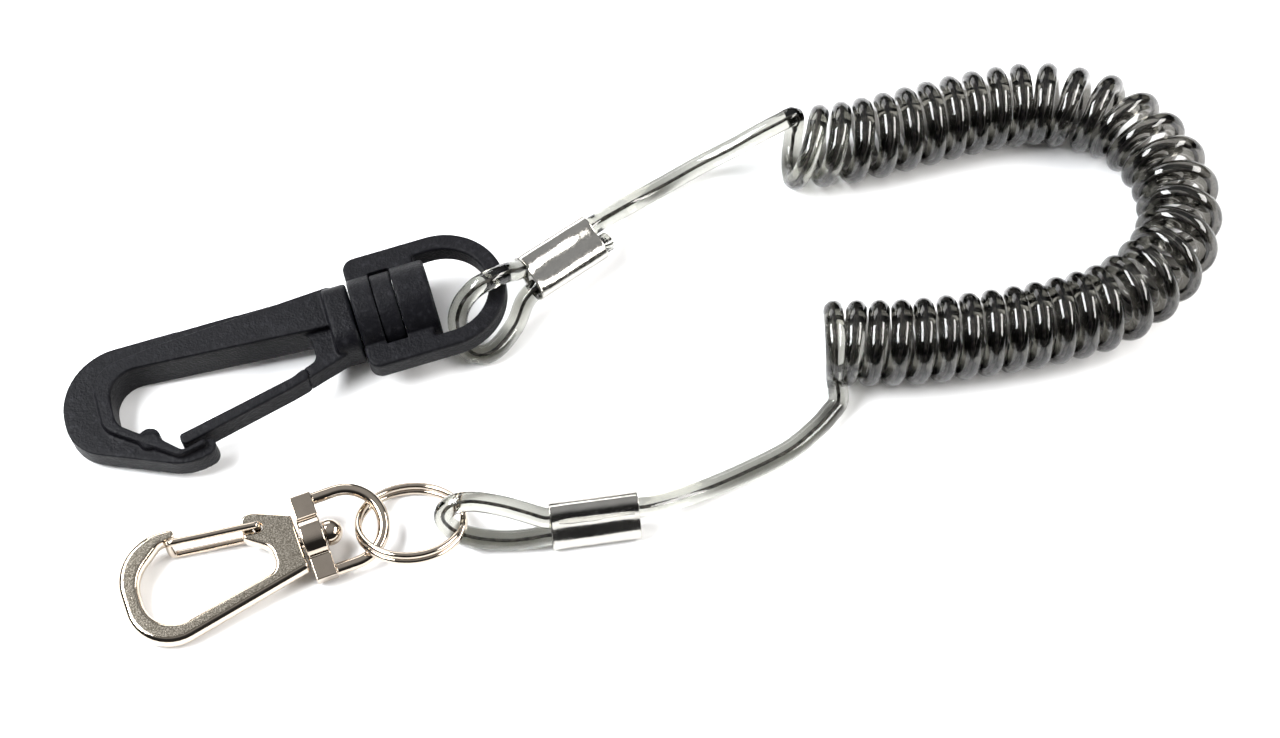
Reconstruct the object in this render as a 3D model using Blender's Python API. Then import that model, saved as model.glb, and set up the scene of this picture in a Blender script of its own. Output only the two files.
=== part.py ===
"""Coiled safety tether: a jacketed steel cord wound into a spring, with a crimped eye at each end.

The upper eye carries a plastic swivel snap hook. The lower eye carries a split ring, and the ring
carries a small die-cast swivel clip. The tether lies on a table at z = 0, with +X along the coil
and the two hooks side by side at the other end. The origin is under the middle of the hooks.
Lengths are written in millimetres and turned into metres by MM.
"""

import math

import bmesh
import bpy
from mathutils import Vector

MM = 0.001
GAP = 0.3

# The cord and the coil it is wound into.
CORD_RADIUS = 1.75
COIL_RADIUS = 7.45

# Crimp sleeves: an oval tube pressed over two strands.
SLEEVE_LENGTH = 14.5
SLEEVE_WIDTH = 7.9
SLEEVE_THICKNESS = 4.6
STRAND_OFFSET = 1.9

# Places and attitudes: x, y, z, then heading, tilt (up towards +u) and roll (up towards +v), in degrees.
HOOK_SWIVEL = ((11.2, 21.5, 6.95), (16.6, 4.3, 0.0))
CLIP_SWIVEL = ((4.5, -19.4, 3.84), (20.5, 2.6, 5.5))
BAIL_ROLL = 12.0
RING_PLACE = ((22.6, -16.2, 4.6), (0.0, 1.5, -22.0))
UPPER_SLEEVE = ((47.0, 35.7, 5.5), (40.5, -11.0, 20.0))
LOWER_SLEEVE = ((53.2, -15.5, 3.95), (8.6, 0.0, 65.0))

# The plastic snap hook, measured along its swivel axis (u), across it (v) and through it (w).
HOOK_PLATE = 1.8
HOOK_RIM = 3.45
NECK_WIDTH = 12.0
NECK_THICKNESS = 10.4
NECK_SPAN = (-4.0, 0.1)
POST_RADIUS = 2.2
DISC_RADIUS = 6.7
DISC_SPAN = (4.85, 7.95)
BARREL_RADIUS = 7.0
BARREL_SPAN = (0.6, 14.3)
WINDOW_SPAN = (4.5, 8.3)
LOOP_LENGTH = 27.2
LOOP_HALF_WIDTH = 11.3
LOOP_RAIL = 3.0
LOOP_THICKNESS = 4.0
GATE_HINGE = (-10.9, -8.75)
GATE_THICKNESS = 4.6
GATE_ROOT_RADIUS = 1.15

# The die-cast clip, in the same way.
CLIP_THICKNESS = 3.6
CLIP_PIVOT = (-6.1, 4.5)
PIVOT_HOLE_RADIUS = 0.95
GATE_WIRE_RADIUS = 0.62
GATE_WIRE_HEIGHT = 2.75
BAIL_SPAN = (0.3, 4.0)
BAIL_HALF_WIDTH = 7.5
BAIL_BAR_THICKNESS = 3.0
BAIL_WIRE_RADIUS = 1.05
BAIL_ARC_CENTRE = 7.6
BOSS_RADIUS = 3.8
RIVET_SHANK_RADIUS = 1.2
RIVET_HEAD_RADIUS = 2.5
RIVET_SPAN = (-0.55, 6.9)

# The split ring: two turns of wire, one on the other.
RING_WIRE = 1.2
RING_RADIUS = 8.8

# Outlines as corners: u, v and the radius that rounds the corner.
NOSE_EDGE = [
    (-27.7, -18.0, 1.8),
    (-27.7, -15.1, 0.9),
    (-33.2, -16.6, 1.3),
    (-36.2, -13.6, 0.6),
    (-37.2, -11.8, 0.8),
    (-39.2, -11.6, 0.6),
]
OPENING_EDGE = [
    (-43.2, -8.4, 3.5),
    (-43.2, 1.9, 5.0),
    (-7.7, -1.2, 2.0),
    (-7.7, -6.6, 1.6),
    (-9.35, -7.6, 0.0),
]
HOOK_OUTLINE = [
    (-2.5, 6.3, 0.0),
    (-51.6, 7.2, 11.0),
    (-51.6, -10.2, 8.0),
    (-33.0, -19.2, 3.0),
    *NOSE_EDGE,
    *OPENING_EDGE,
    (-9.35, -9.3, 0.0),
    (-2.5, -7.3, 0.0),
]
RIM_OUTLINE = [
    (-2.5, 5.6, 0.0),
    (-34.0, 3.7, 8.0),
    (-45.4, 3.2, 5.0),
    (-45.4, -8.6, 4.0),
    (-34.0, -17.7, 2.0),
    (-29.4, -16.9, 0.6),
    (-28.9, -15.65, 0.3),
    (-33.2, -16.75, 1.3),
    (-36.05, -13.75, 0.6),
    (-37.05, -11.95, 0.8),
    (-39.1, -11.75, 0.6),
    (-43.05, -8.3, 3.5),
    (-43.05, 1.75, 5.0),
    (-7.85, -1.35, 2.0),
    (-7.85, -6.4, 1.6),
    (-9.2, -7.8, 0.0),
    (-9.2, -9.1, 0.0),
    (-2.5, -7.1, 0.0),
]
GATE_OUTLINE = [
    (-10.9, -7.75, 0.0),
    (-12.6, -8.55, 3.0),
    (-33.3, -13.1, 0.6),
    (-33.4, -15.4, 1.0),
    (-30.5, -14.75, 0.0),
    (-13.5, -10.75, 0.0),
    (-10.9, -9.75, 0.0),
]
CLIP_OUTLINE = [
    (-0.9, 4.1, 0.4),
    (-0.8, -4.8, 0.4),
    (-30.6, -11.0, 6.5),
    (-30.6, 10.2, 7.5),
    (-19.1, 9.1, 0.9),
    (-19.4, 7.7, 0.4),
    (-22.3, 7.4, 0.8),
    (-27.7, 3.0, 3.0),
    (-27.7, -7.6, 3.6),
    (-5.0, -3.3, 1.9),
    (-5.0, 0.3, 1.8),
    (-8.9, 3.4, 0.8),
    (-8.1, 7.2, 1.2),
    (-6.0, 7.1, 1.2),
]

# Routes of the cord where it is not coiled, from the sleeve outwards.
UPPER_EYE_ROUTE = [
    (39.45, 31.0, 8.1),
    (39.4, 30.3, 10.7),
    (38.4, 28.7, 13.0),
    (36.6, 27.0, 14.1),
    (34.3, 25.7, 13.8),
    (32.1, 24.9, 12.2),
    (30.3, 24.1, 9.4),
    (29.4, 22.9, 6.0),
    (29.8, 21.0, 2.9),
    (31.3, 18.7, 1.8),
    (33.5, 17.8, 1.8),
    (36.0, 19.4, 1.8),
    (38.9, 23.6, 2.6),
    (41.3, 27.6, 5.2),
]
UPPER_LEAD_ROUTE = [
    (51.7, 42.1, 4.4),
    (53.7, 43.9, 3.7),
    (59.4, 49.3, 1.8),
    (68.7, 55.8, 1.8),
    (77.7, 59.6, 4.8),
    (82.8, 60.8, 8.2),
    (86.1, 61.4, 10.4),
]
COIL_AXIS_ROUTE = [
    (88.0, 57.2),
    (98.4, 58.8),
    (107.6, 61.3),
    (116.7, 64.1),
    (125.8, 66.3),
    (134.1, 67.1),
    (144.2, 64.7),
    (149.0, 61.1),
    (152.2, 57.1),
    (154.5, 52.8),
    (155.8, 48.1),
    (155.9, 43.2),
    (154.7, 37.5),
    (152.0, 32.8),
    (148.5, 29.1),
    (144.2, 25.7),
    (139.1, 23.3),
    (130.5, 20.8),
    (122.7, 19.2),
    (114.0, 17.9),
    (105.4, 17.0),
    (94.4, 16.2),
]
LOWER_LEAD_ROUTE = [
    (94.8, 8.1, 2.1),
    (93.3, 6.1, 1.8),
    (91.0, 3.5, 1.8),
    (86.0, -1.0, 1.8),
    (78.0, -5.5, 1.8),
    (71.2, -8.9, 2.2),
    (65.5, -11.9, 4.0),
    (61.3, -13.6, 5.3),
]
LOWER_EYE_ROUTE = [
    (44.9, -15.8, 5.65),
    (42.0, -15.2, 6.3),
    (37.5, -14.3, 7.2),
    (32.6, -13.8, 7.7),
    (29.2, -14.2, 6.8),
    (28.0, -15.0, 4.3),
    (29.5, -16.2, 1.95),
    (33.2, -17.6, 1.8),
    (38.5, -18.1, 1.8),
    (42.3, -17.8, 1.95),
    (45.1, -17.4, 2.25),
]


def start_empty():
    for thing in list(bpy.data.objects):
        bpy.data.objects.remove(thing, do_unlink=True)


def finish_material(name, colour, roughness, metallic=0.0):
    material = bpy.data.materials.new(name)
    material.use_nodes = True
    shader = material.node_tree.nodes["Principled BSDF"]
    shader.inputs["Base Color"].default_value = (*colour, 1.0)
    shader.inputs["Roughness"].default_value = roughness
    shader.inputs["Metallic"].default_value = metallic
    return material


def metres(points):
    return [Vector(point) * MM for point in points]


def placed_frame(name, place):
    """An empty whose x axis is u, y axis is v and z axis is w."""
    at, (heading, tilt, roll) = place
    empty = bpy.data.objects.new(name, None)
    bpy.context.collection.objects.link(empty)
    empty.location = Vector(at) * MM
    empty.rotation_euler = (math.radians(roll), math.radians(-tilt), math.radians(heading))
    empty.empty_display_size = 5 * MM
    return empty


def add_object(name, mesh, parent=None, material=None):
    thing = bpy.data.objects.new(name, mesh)
    bpy.context.collection.objects.link(thing)
    thing.parent = parent
    if material:
        mesh.materials.append(material)
    return thing


def mesh_from(name, shape):
    bmesh.ops.recalc_face_normals(shape, faces=shape.faces)
    mesh = bpy.data.meshes.new(name)
    shape.to_mesh(mesh)
    shape.free()
    return mesh


def round_off(mesh):
    mesh.shade_smooth()
    mesh.set_sharp_from_angle(angle=math.radians(35))


def rounded_outline(corners, chord=1.1):
    """The corners joined by straight lines, each corner replaced by an arc of its radius."""
    outline = []
    count = len(corners)
    for index, (u, v, radius) in enumerate(corners):
        here = Vector((u, v))
        if not radius:
            outline.append(here)
            continue
        before = (Vector(corners[index - 1][:2]) - here).normalized()
        after = (Vector(corners[(index + 1) % count][:2]) - here).normalized()
        half = before.angle(after) / 2
        reach = radius / math.tan(half)
        centre = here + (before + after).normalized() * radius / math.sin(half)
        first = here + before * reach - centre
        last = here + after * reach - centre
        turn = first.angle_signed(last)
        steps = max(2, round(radius * abs(turn) / chord))
        for step in range(steps + 1):
            angle = -turn * step / steps
            spun = Vector((
                first.x * math.cos(angle) - first.y * math.sin(angle),
                first.x * math.sin(angle) + first.y * math.cos(angle),
            ))
            outline.append(centre + spun)
    return outline


def plate_mesh(name, outline, low, high):
    """A flat plate of this outline, from w = low to w = high."""
    shape = bmesh.new()
    corners = [shape.verts.new(Vector((p.x, p.y, low)) * MM) for p in outline]
    face = shape.faces.new(corners)
    lifted = bmesh.ops.extrude_face_region(shape, geom=[face])["geom"]
    risen = [item for item in lifted if isinstance(item, bmesh.types.BMVert)]
    bmesh.ops.translate(shape, verts=risen, vec=(0, 0, (high - low) * MM))
    return mesh_from(name, shape)


def turned_mesh(name, profile, sides=28):
    """A solid turned about the u axis from (u, radius) pairs that start and end on the axis."""
    shape = bmesh.new()
    rings = []
    for u, radius in profile:
        if radius == 0:
            rings.append([shape.verts.new((u * MM, 0, 0))])
            continue
        ring = []
        for side in range(sides):
            angle = 2 * math.pi * side / sides
            ring.append(shape.verts.new(
                (u * MM, radius * math.cos(angle) * MM, radius * math.sin(angle) * MM)
            ))
        rings.append(ring)
    for near, far in zip(rings, rings[1:]):
        for side in range(sides):
            after = (side + 1) % sides
            quad = [near[side % len(near)], near[after % len(near)],
                    far[after % len(far)], far[side % len(far)]]
            shape.faces.new(list(dict.fromkeys(quad)))
    return mesh_from(name, shape)


def block_mesh(name, low, high):
    shape = bmesh.new()
    bmesh.ops.create_cube(shape, size=1.0)
    centre = (Vector(low) + Vector(high)) / 2 * MM
    size = (Vector(high) - Vector(low)) * MM
    for vert in shape.verts:
        vert.co = Vector(a * b for a, b in zip(vert.co, size)) + centre
    return mesh_from(name, shape)


def oval_mesh(name, length, width, thickness, edge=0.35):
    """A bar along u whose section is a flat oval: two half circles joined by straight sides."""
    radius = thickness / 2
    straight = width / 2 - radius
    shape = bmesh.new()
    ends = ((-length / 2, -edge), (-length / 2 + edge, 0.0), (length / 2 - edge, 0.0), (length / 2, -edge))
    loops = []
    for u, grow in ends:
        loop = []
        for side in (1, -1):
            for step in range(9):
                angle = side * math.pi / 2 - side * math.pi / 2 + math.pi * step / 8 - math.pi / 2
                v = side * (straight + (radius + grow) * math.cos(angle))
                w = side * (radius + grow) * math.sin(angle)
                loop.append(shape.verts.new((u * MM, v * MM, w * MM)))
        loops.append(loop)
    for near, far in zip(loops, loops[1:]):
        count = len(near)
        for index in range(count):
            after = (index + 1) % count
            shape.faces.new((near[index], near[after], far[after], far[index]))
    shape.faces.new(loops[0])
    shape.faces.new(loops[-1])
    return mesh_from(name, shape)


def ring_mesh(name, radius, wire, turns=64):
    """The outer shape of two turns of wire, one on the other, round the w axis."""
    shape = bmesh.new()
    section = []
    for side in (1, -1):
        for step in range(5):
            angle = math.pi * step / 4
            out = wire / 2 * math.cos(angle)
            up = wire / 2 * (1 + math.sin(angle))
            section.append((radius + side * out, side * up))
    loops = []
    for turn in range(turns):
        angle = 2 * math.pi * turn / turns
        loops.append([
            shape.verts.new((out * math.cos(angle) * MM, out * math.sin(angle) * MM, up * MM))
            for out, up in section
        ])
    for turn in range(turns):
        near, far = loops[turn], loops[(turn + 1) % turns]
        for index in range(len(section)):
            after = (index + 1) % len(section)
            shape.faces.new((near[index], near[after], far[after], far[index]))
    return mesh_from(name, shape)


def boolean(target, other, operation):
    """Joins or cuts, with the other object kept as a hidden helper."""
    other.hide_render = True
    other.display_type = "WIRE"
    modifier = target.modifiers.new(f"{operation.lower()} {other.name}", "BOOLEAN")
    modifier.operation = operation
    modifier.solver = "EXACT"
    modifier.object = other


def smooth_route(points, spacing):
    """Points at even spacing on one smooth curve through these points."""
    dense = []
    count = len(points)
    for index in range(count - 1):
        before = points[max(index - 1, 0)]
        start, end = points[index], points[index + 1]
        after = points[min(index + 2, count - 1)]
        for step in range(24):
            t = step / 24
            dense.append(0.5 * (
                2 * start
                + (end - before) * t
                + (2 * before - 5 * start + 4 * end - after) * t**2
                + (3 * start - before - 3 * end + after) * t**3
            ))
    dense.append(points[-1])
    along = [0.0]
    for near, far in zip(dense, dense[1:]):
        along.append(along[-1] + (far - near).length)
    pieces = max(2, round(along[-1] / spacing))
    route = []
    index = 0
    for piece in range(pieces + 1):
        wanted = along[-1] * piece / pieces
        while index < len(dense) - 2 and along[index + 1] < wanted:
            index += 1
        share = (wanted - along[index]) / (along[index + 1] - along[index])
        route.append(dense[index].lerp(dense[index + 1], share))
    return route


def tube(name, route, radius, spacing, material, bevel_resolution=2):
    curve = bpy.data.curves.new(name, "CURVE")
    curve.dimensions = "3D"
    curve.bevel_depth = radius * MM
    curve.bevel_resolution = bevel_resolution
    curve.use_fill_caps = True
    points = smooth_route(metres(route), spacing * MM)
    spline = curve.splines.new("POLY")
    spline.points.add(len(points) - 1)
    for spline_point, point in zip(spline.points, points):
        spline_point.co = (*point, 1.0)
    curve.materials.append(material)
    thing = bpy.data.objects.new(name, curve)
    bpy.context.collection.objects.link(thing)
    return thing


def wire_mesh(name, route, radius, sides=10):
    """A round wire through these points, closed at both ends."""
    shape = bmesh.new()
    points = metres(route)
    side = Vector((0.0, 1.0, 0.0))
    loops = []
    for index, point in enumerate(points):
        ahead = points[min(index + 1, len(points) - 1)] - points[max(index - 1, 0)]
        ahead.normalize()
        side = (side - ahead * side.dot(ahead)).normalized()
        up = ahead.cross(side)
        loops.append([
            shape.verts.new(point + radius * MM * (
                side * math.cos(2 * math.pi * step / sides) + up * math.sin(2 * math.pi * step / sides)
            ))
            for step in range(sides)
        ])
    for near, far in zip(loops, loops[1:]):
        for step in range(sides):
            after = (step + 1) % sides
            shape.faces.new((near[step], near[after], far[after], far[step]))
    shape.faces.new(loops[0])
    shape.faces.new(loops[-1])
    return mesh_from(name, shape)


def snap_hook_body(parent, material):
    plate = plate_mesh("snap_hook_body", rounded_outline(HOOK_OUTLINE), -HOOK_PLATE, HOOK_PLATE)
    body = add_object("snap_hook_body", plate, parent, material)
    rim = plate_mesh("hook_rim", rounded_outline(RIM_OUTLINE), -HOOK_RIM, HOOK_RIM)
    boolean(body, add_object("hook_rim", rim, parent), "UNION")
    neck_corners = [
        (side * NECK_WIDTH / 2, top * NECK_THICKNESS / 2, 2.2)
        for side, top in ((-1, -1), (1, -1), (1, 1), (-1, 1))
    ]
    neck = plate_mesh("hook_neck", rounded_outline(neck_corners, 0.9), *NECK_SPAN)
    neck_object = add_object("hook_neck", neck, parent)
    neck_object.rotation_euler = (math.pi / 2, 0.0, math.pi / 2)
    boolean(body, neck_object, "UNION")
    post_profile = [
        (-2.0, 0.0),
        (-2.0, POST_RADIUS),
        (DISC_SPAN[0], POST_RADIUS),
        (DISC_SPAN[0], DISC_RADIUS),
        (DISC_SPAN[1], DISC_RADIUS),
        (DISC_SPAN[1], 0.0),
    ]
    post = add_object("hook_post", turned_mesh("hook_post", post_profile), parent)
    boolean(body, post, "UNION")
    return body


def snap_hook_gate(parent, material):
    gate_frame = placed_frame("gate_axis", ((*GATE_HINGE, 0.0), (0.0, 0.0, 0.0)))
    gate_frame.parent = parent
    hinge = Vector(GATE_HINGE)
    outline = [point - hinge for point in rounded_outline(GATE_OUTLINE)]
    half = GATE_THICKNESS / 2
    gate = add_object("snap_hook_gate", plate_mesh("snap_hook_gate", outline, -half, half), gate_frame, material)
    root = [
        Vector((GATE_ROOT_RADIUS * math.cos(math.tau * step / 16), GATE_ROOT_RADIUS * math.sin(math.tau * step / 16)))
        for step in range(16)
    ]
    root_object = add_object("gate_root", plate_mesh("gate_root", root, -half - 0.05, half + 0.05), gate_frame)
    boolean(gate, root_object, "UNION")
    return gate


def loop_outline(start, end, half_width, corner):
    """A D shape: square corners at the start, a half circle at the end."""
    centre = end - half_width
    outline = rounded_outline([
        (centre, half_width, 0.0),
        (start, half_width, corner),
        (start, -half_width, corner),
        (centre, -half_width, 0.0),
    ])
    for step in range(1, 24):
        angle = -math.pi / 2 + math.pi * step / 24
        outline.append(Vector((centre + half_width * math.cos(angle), half_width * math.sin(angle))))
    return outline


def snap_hook_swivel_eye(parent, material):
    half = LOOP_THICKNESS / 2
    outer = loop_outline(BARREL_SPAN[0], LOOP_LENGTH, LOOP_HALF_WIDTH, 2.2)
    eye = add_object("snap_hook_swivel_eye", plate_mesh("swivel_eye", outer, -half, half), parent, material)
    inner = loop_outline(BARREL_SPAN[1] - 1.5, LOOP_LENGTH - LOOP_RAIL, LOOP_HALF_WIDTH - LOOP_RAIL, 0.4)
    opening = add_object("loop_opening", plate_mesh("loop_opening", inner, -half - 2, half + 2), parent)
    boolean(eye, opening, "DIFFERENCE")
    barrel_profile = [
        (BARREL_SPAN[0] + 0.05, 0.0),
        (BARREL_SPAN[0] + 0.05, BARREL_RADIUS - 0.4),
        (BARREL_SPAN[0] + 0.45, BARREL_RADIUS),
        (BARREL_SPAN[1] - 0.4, BARREL_RADIUS),
        (BARREL_SPAN[1], BARREL_RADIUS - 0.4),
        (BARREL_SPAN[1], 0.0),
    ]
    barrel = add_object("barrel", turned_mesh("barrel", barrel_profile), parent)
    boolean(eye, barrel, "UNION")
    cheek_span = ((BARREL_SPAN[0] + 2.0, -LOOP_HALF_WIDTH + 1, -half + 0.1),
                  (BARREL_SPAN[1] - 0.1, LOOP_HALF_WIDTH - 1, half - 0.1))
    cheeks = add_object("cheeks", block_mesh("cheeks", *cheek_span), parent)
    boolean(eye, cheeks, "UNION")
    window_half = DISC_RADIUS + 0.55
    window_size = ((WINDOW_SPAN[0], -window_half, -BARREL_RADIUS - 1),
                   (WINDOW_SPAN[1], window_half, BARREL_RADIUS + 1))
    window = add_object("disc_window", block_mesh("disc_window", *window_size), parent)
    boolean(eye, window, "DIFFERENCE")
    bore_radius = POST_RADIUS + 0.35
    bore_profile = [(-1.0, 0.0), (-1.0, bore_radius), (5.0, bore_radius), (5.0, 0.0)]
    bore = add_object("post_bore", turned_mesh("post_bore", bore_profile), parent)
    boolean(eye, bore, "DIFFERENCE")
    return eye


def clip_body(parent, material):
    half = CLIP_THICKNESS / 2
    body = add_object("clip_body", plate_mesh("clip_body", rounded_outline(CLIP_OUTLINE, 0.9), -half, half),
                      parent, material)
    bevel = body.modifiers.new("edge rounding", "BEVEL")
    bevel.width = 0.35 * MM
    bevel.segments = 1
    bevel.limit_method = "ANGLE"
    bevel.angle_limit = math.radians(60)
    hole = [
        Vector((CLIP_PIVOT[0] + PIVOT_HOLE_RADIUS * math.cos(math.tau * step / 16),
                CLIP_PIVOT[1] + PIVOT_HOLE_RADIUS * math.sin(math.tau * step / 16)))
        for step in range(16)
    ]
    drill = add_object("pivot_drill", plate_mesh("pivot_drill", hole, -half - 1, half + 1), parent)
    boolean(body, drill, "DIFFERENCE")
    return body


def clip_wire_gate(parent, material):
    """A U of wire astride the clip, its ends turned into the pivot hole."""
    gate_frame = placed_frame("wire_gate_axis", ((*CLIP_PIVOT, 0.0), (0.0, 0.0, 0.0)))
    gate_frame.parent = parent
    reach = Vector((-14.7, 2.0))
    heel = 0.55
    height = GATE_WIRE_HEIGHT
    half_route = [
        (0.0, 0.0, 0.35),
        (0.0, 0.0, height - heel),
        (-0.3 * heel, 0.03, height - 0.2 * heel),
        (-heel, 0.07, height),
        (reach.x + 1.0, reach.y - 0.11, height),
        (reach.x + 0.3, reach.y - 0.03, height - 0.3),
        (reach.x, reach.y, height - 1.0),
    ]
    route = half_route + [(u, v, -w) for u, v, w in reversed(half_route)]
    mesh = wire_mesh("clip_wire_gate", route, GATE_WIRE_RADIUS)
    return add_object("clip_wire_gate", mesh, gate_frame, material)


def clip_rivet(parent, material):
    head = BAIL_SPAN[1] + GAP
    profile = [
        (RIVET_SPAN[0], 0.0),
        (RIVET_SPAN[0], RIVET_SHANK_RADIUS),
        (head, RIVET_SHANK_RADIUS),
        (head, RIVET_HEAD_RADIUS),
        (RIVET_SPAN[1] - 1.3, RIVET_HEAD_RADIUS),
        (RIVET_SPAN[1] - 0.55, RIVET_HEAD_RADIUS * 0.82),
        (RIVET_SPAN[1] - 0.1, RIVET_HEAD_RADIUS * 0.42),
        (RIVET_SPAN[1], 0.0),
    ]
    return add_object("clip_swivel_rivet", turned_mesh("clip_swivel_rivet", profile, 20), parent, material)


def clip_bail(parent, material):
    half = BAIL_BAR_THICKNESS / 2
    bar_size = ((BAIL_SPAN[0], -BAIL_HALF_WIDTH, -half), (BAIL_SPAN[1], BAIL_HALF_WIDTH, half))
    bail = add_object("clip_bail", block_mesh("clip_bail", *bar_size), parent, material)
    wire_centre = BAIL_HALF_WIDTH - BAIL_WIRE_RADIUS
    arc = [
        (BAIL_ARC_CENTRE + wire_centre * math.sin(math.pi * step / 20),
         -wire_centre * math.cos(math.pi * step / 20), 0.0)
        for step in range(21)
    ]
    route = [(BAIL_SPAN[1] - 1.5, -wire_centre, 0.0)] + arc + [(BAIL_SPAN[1] - 1.5, wire_centre, 0.0)]
    arch = add_object("bail_arch", wire_mesh("bail_arch", route, BAIL_WIRE_RADIUS, 12), parent)
    boolean(bail, arch, "UNION")
    boss_profile = [
        (BAIL_SPAN[0] - 0.1, 0.0),
        (BAIL_SPAN[0] - 0.1, BOSS_RADIUS),
        (BAIL_SPAN[1] - 0.1, BOSS_RADIUS),
        (BAIL_SPAN[1] - 0.1, 0.0),
    ]
    boss = add_object("bail_boss", turned_mesh("bail_boss", boss_profile, 24), parent)
    boolean(bail, boss, "UNION")
    bore_radius = RIVET_SHANK_RADIUS + GAP
    bore_profile = [(-1.0, 0.0), (-1.0, bore_radius), (6.0, bore_radius), (6.0, 0.0)]
    bore = add_object("bail_bore", turned_mesh("bail_bore", bore_profile, 20), parent)
    boolean(bail, bore, "DIFFERENCE")
    return bail


def crimp_sleeve(name, place, material):
    frame = placed_frame(f"{name}_frame", place)
    mesh = oval_mesh(name, SLEEVE_LENGTH, SLEEVE_WIDTH, SLEEVE_THICKNESS)
    return frame, add_object(name, mesh, frame, material)


def cord_end(sleeve_frame, material):
    """The cut end of the cord, standing a little out of the upper sleeve beside the lead."""
    start = SLEEVE_LENGTH / 2 + GAP
    profile = [
        (start, 0.0),
        (start, CORD_RADIUS - 0.1),
        (start + 1.8, CORD_RADIUS - 0.1),
        (start + 2.1, 0.0),
    ]
    end = add_object("cord_end_upper", turned_mesh("cord_end_upper", profile, 12), sleeve_frame, material)
    end.location = (0.0, -STRAND_OFFSET * MM, 0.0)
    return end


def coil_route():
    return [(x, y, COIL_RADIUS + 0.02) for x, y in COIL_AXIS_ROUTE]


def main():
    start_empty()
    black_plastic = finish_material("black_plastic", (0.02, 0.02, 0.024), 0.5)
    nickel = finish_material("satin_nickel", (0.62, 0.57, 0.5), 0.3, 1.0)
    bright_nickel = finish_material("bright_nickel", (0.7, 0.67, 0.62), 0.18, 1.0)
    jacket = finish_material("smoke_jacket", (0.2, 0.2, 0.17), 0.15)

    hook_frame = placed_frame("hook_swivel_axis", HOOK_SWIVEL)
    parts = [
        snap_hook_body(hook_frame, black_plastic),
        snap_hook_gate(hook_frame, black_plastic),
        snap_hook_swivel_eye(hook_frame, black_plastic),
    ]

    clip_frame = placed_frame("clip_swivel_axis", CLIP_SWIVEL)
    parts.append(clip_body(clip_frame, nickel))
    parts.append(clip_wire_gate(clip_frame, bright_nickel))
    parts.append(clip_rivet(clip_frame, bright_nickel))
    clip_at, (clip_heading, clip_tilt, _) = CLIP_SWIVEL
    bail_frame = placed_frame("bail_frame", (clip_at, (clip_heading, clip_tilt, BAIL_ROLL)))
    parts.append(clip_bail(bail_frame, bright_nickel))

    ring_frame = placed_frame("ring_frame", RING_PLACE)
    parts.append(add_object("split_ring", ring_mesh("split_ring", RING_RADIUS, RING_WIRE), ring_frame, bright_nickel))

    upper_frame, upper_sleeve = crimp_sleeve("crimp_sleeve_upper", UPPER_SLEEVE, bright_nickel)
    parts += [upper_sleeve, cord_end(upper_frame, jacket)]
    parts.append(crimp_sleeve("crimp_sleeve_lower", LOWER_SLEEVE, bright_nickel)[1])

    for part in parts:
        round_off(part.data)

    tube("cord_eye_upper", UPPER_EYE_ROUTE, CORD_RADIUS, 2.4, jacket)
    tube("cord_lead_upper", UPPER_LEAD_ROUTE, CORD_RADIUS, 4.0, jacket)
    tube("cord_coil", coil_route(), COIL_RADIUS, 4.0, jacket, 4)
    tube("cord_lead_lower", LOWER_LEAD_ROUTE, CORD_RADIUS, 4.0, jacket)
    tube("cord_eye_lower", LOWER_EYE_ROUTE, CORD_RADIUS, 2.4, jacket)


main()
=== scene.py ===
"""Looks for the coiled safety tether: fine moulded, cast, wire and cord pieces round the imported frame.

Lengths are written in millimetres and turned into metres by MM.
"""

import math
import bmesh
import bpy
import numpy as np
from mathutils import Matrix, Vector


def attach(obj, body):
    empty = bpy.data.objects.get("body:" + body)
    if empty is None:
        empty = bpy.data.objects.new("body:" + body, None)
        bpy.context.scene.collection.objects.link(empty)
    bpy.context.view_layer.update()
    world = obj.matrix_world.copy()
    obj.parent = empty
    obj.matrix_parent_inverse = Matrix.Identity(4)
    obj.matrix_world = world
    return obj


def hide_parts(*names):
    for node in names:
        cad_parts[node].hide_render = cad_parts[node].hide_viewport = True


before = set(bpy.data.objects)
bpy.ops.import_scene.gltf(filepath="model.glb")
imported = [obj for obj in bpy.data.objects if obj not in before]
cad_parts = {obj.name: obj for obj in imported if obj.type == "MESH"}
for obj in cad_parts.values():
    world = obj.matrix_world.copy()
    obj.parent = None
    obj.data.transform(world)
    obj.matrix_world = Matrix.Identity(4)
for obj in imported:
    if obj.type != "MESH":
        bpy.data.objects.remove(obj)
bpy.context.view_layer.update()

MM = 0.001

# The cord: its outer radius, its sides, and the spacing of the loops along it.
CORD_RADIUS = 1.75
CORD_SIDES = 20
CORD_SPACING = 0.9
# Between these distances along x painted shade darkens the jacket's colour, for the shade among the coil's
# stacked turns, and the cord swells by this share.
SHADE_AND_SWELL_SPAN = (90.0, 99.0)
COILED_SWELL = 0.05
# The steel core is fluted, with ridges and grooves by turns, and twisted by this many radians per mm.
CORE_RADIUS = 0.21
CORE_GROOVE_SHARE = 0.78
CORE_SIDES = 12
CORE_SPACING = 0.5
CORE_TWIST = 1.3

# The coil: a helix round an axis that bends in a U, this far clear of the table.
COIL_RADIUS = 7.45
FLOOR_GAP = 0.02
TURN_STEPS = 30
# The axis is a row of points, and its direction is taken across this many on each side.
AXIS_SPACING = 0.1
AXIS_SLOPE_REACH = 3
# Turns are counted from the far shoulder of the coil: this many degrees past its top line.
TURN_ZERO = 60.0
# Distance along the coil's axis, from its start or (where negative) from its end, against turns wound.
COIL_KNOTS = [(0.0, -0.33), (47.2, 11.0), (-48.5, 22.67), (-4.2, 33.67), (-0.6, 34.67)]
# The pitch is evened out over this many points of the axis, and runs on past its end at so many mm a turn.
KNOT_BLUR_WIDTH = 101
END_PITCH = 3.6
FIRST_TURN = 0.1
LAST_TURN = 35.12
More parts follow.
